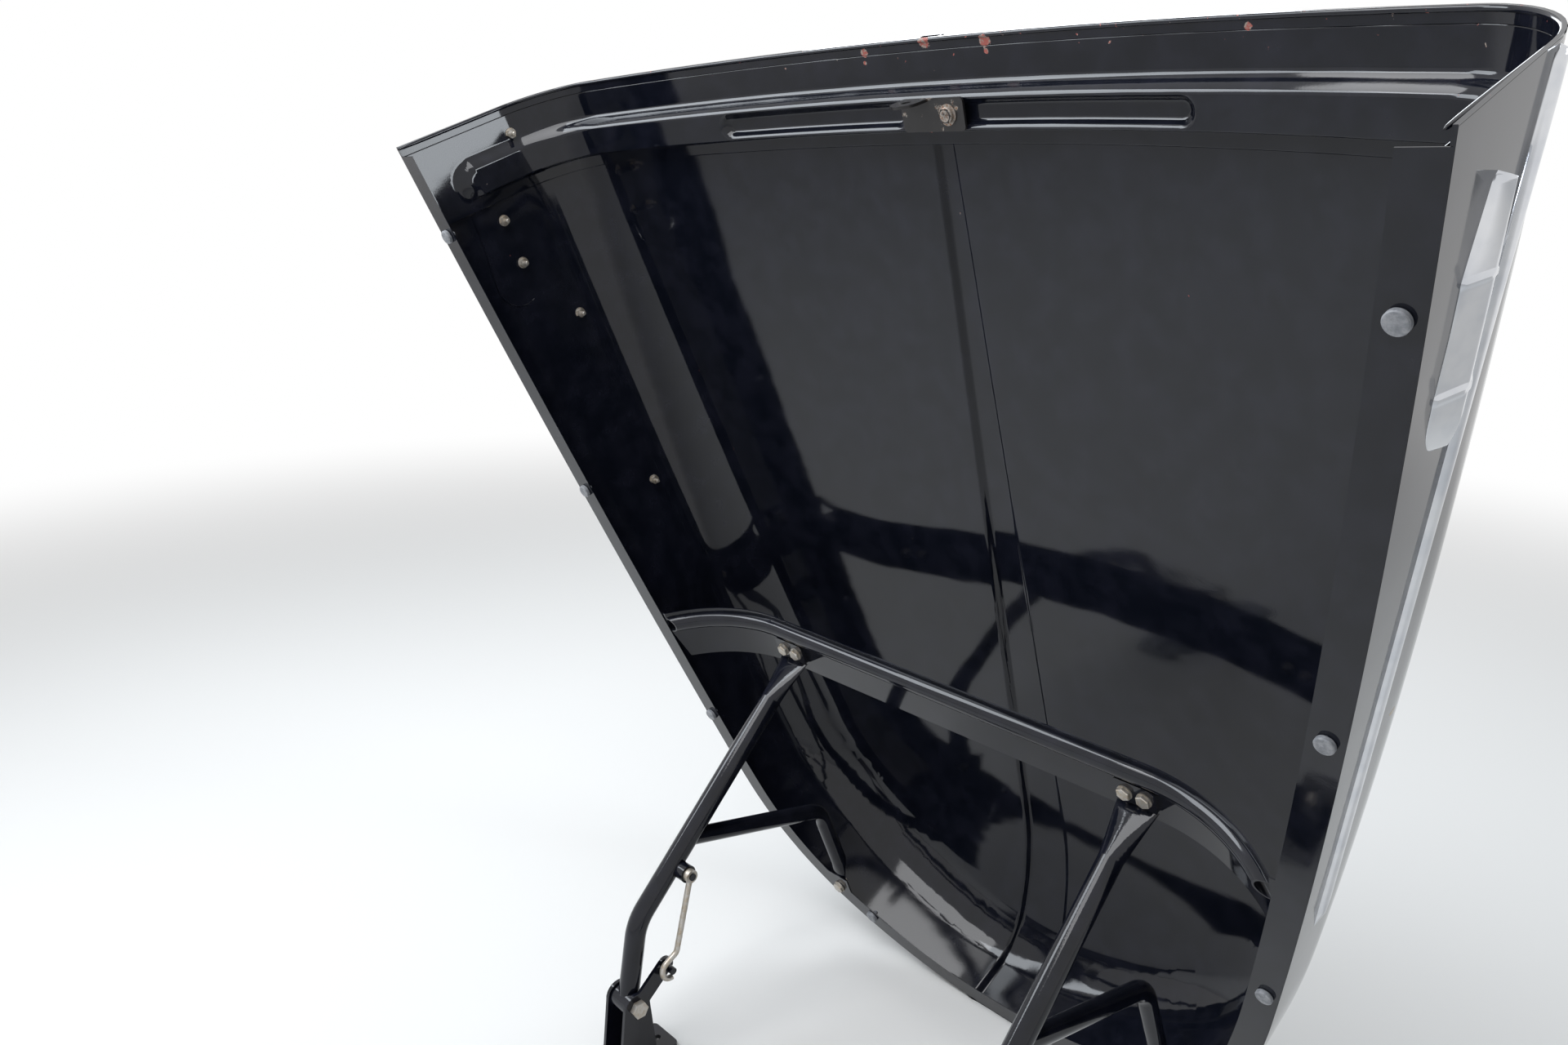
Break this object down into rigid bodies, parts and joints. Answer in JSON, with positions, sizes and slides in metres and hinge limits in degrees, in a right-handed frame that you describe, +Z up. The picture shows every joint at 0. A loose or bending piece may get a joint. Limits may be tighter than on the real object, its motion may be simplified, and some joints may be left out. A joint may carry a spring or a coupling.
{
  "type": "front-hinged car bonnet",
  "caption": "Domed black bonnet panel with inner frame and cross brace, lifted on two bent tubular hinge arms with brackets and a hooked check rod.",
  "frame": {"origin": "middle of the four bolt holes of the two hinge brackets' feet, on the feet's underside", "axes": "+Z up, -Y to the car's front, +X to the car's left; at rest the bonnet is open"},
  "size_m": [1.2716, 0.6128, 1.2945],
  "materials": {
    "black_paint": "gloss",
    "zinc": "satin",
    "worn_steel": "worn",
    "chrome": "polished",
    "rubber": "matte"
  },
  "bodies": {
    "hinge_brackets": {"hinge_bracket_left": "black_paint", "hinge_bracket_right": "black_paint", "pivot_pin_left": "zinc", "pivot_pin_right": "zinc"},
    "bonnet": {"bonnet_skin": "black_paint", "edge_flange_left": "black_paint", "edge_flange_right": "black_paint", "nose_flange": "black_paint", "rear_frame": "black_paint", "latch_striker": "worn_steel", "cross_brace": "black_paint", "hinge_arm_left": "black_paint", "hinge_arm_right": "black_paint", "arm_bolts_left": "zinc", "arm_bolts_right": "zinc", "moulding_left": "chrome", "moulding_right": "chrome", "ornament_left": "chrome", "ornament_right": "chrome", "buffers_left": "rubber", "buffers_right": "rubber"},
    "check_rod": {"check_rod": "zinc"}
  },
  "joints": [
    {"name": "bonnet_hinge", "type": "hinge", "parent": "hinge_brackets", "child": "bonnet", "pos_m": [0, 0, 0.09], "axis": [1, 0, 0], "range_deg": [-68, 0]},
    {"name": "check_rod_swing", "type": "hinge", "parent": "bonnet", "child": "check_rod", "pos_m": [0.243, -0.085, 0.258], "axis": [1, 0, 0], "range_deg": [0, 68]}
  ],
  "couplings": [
    {"joint": "check_rod_swing", "follows": "bonnet_hinge", "ratio": -1}
  ]
}
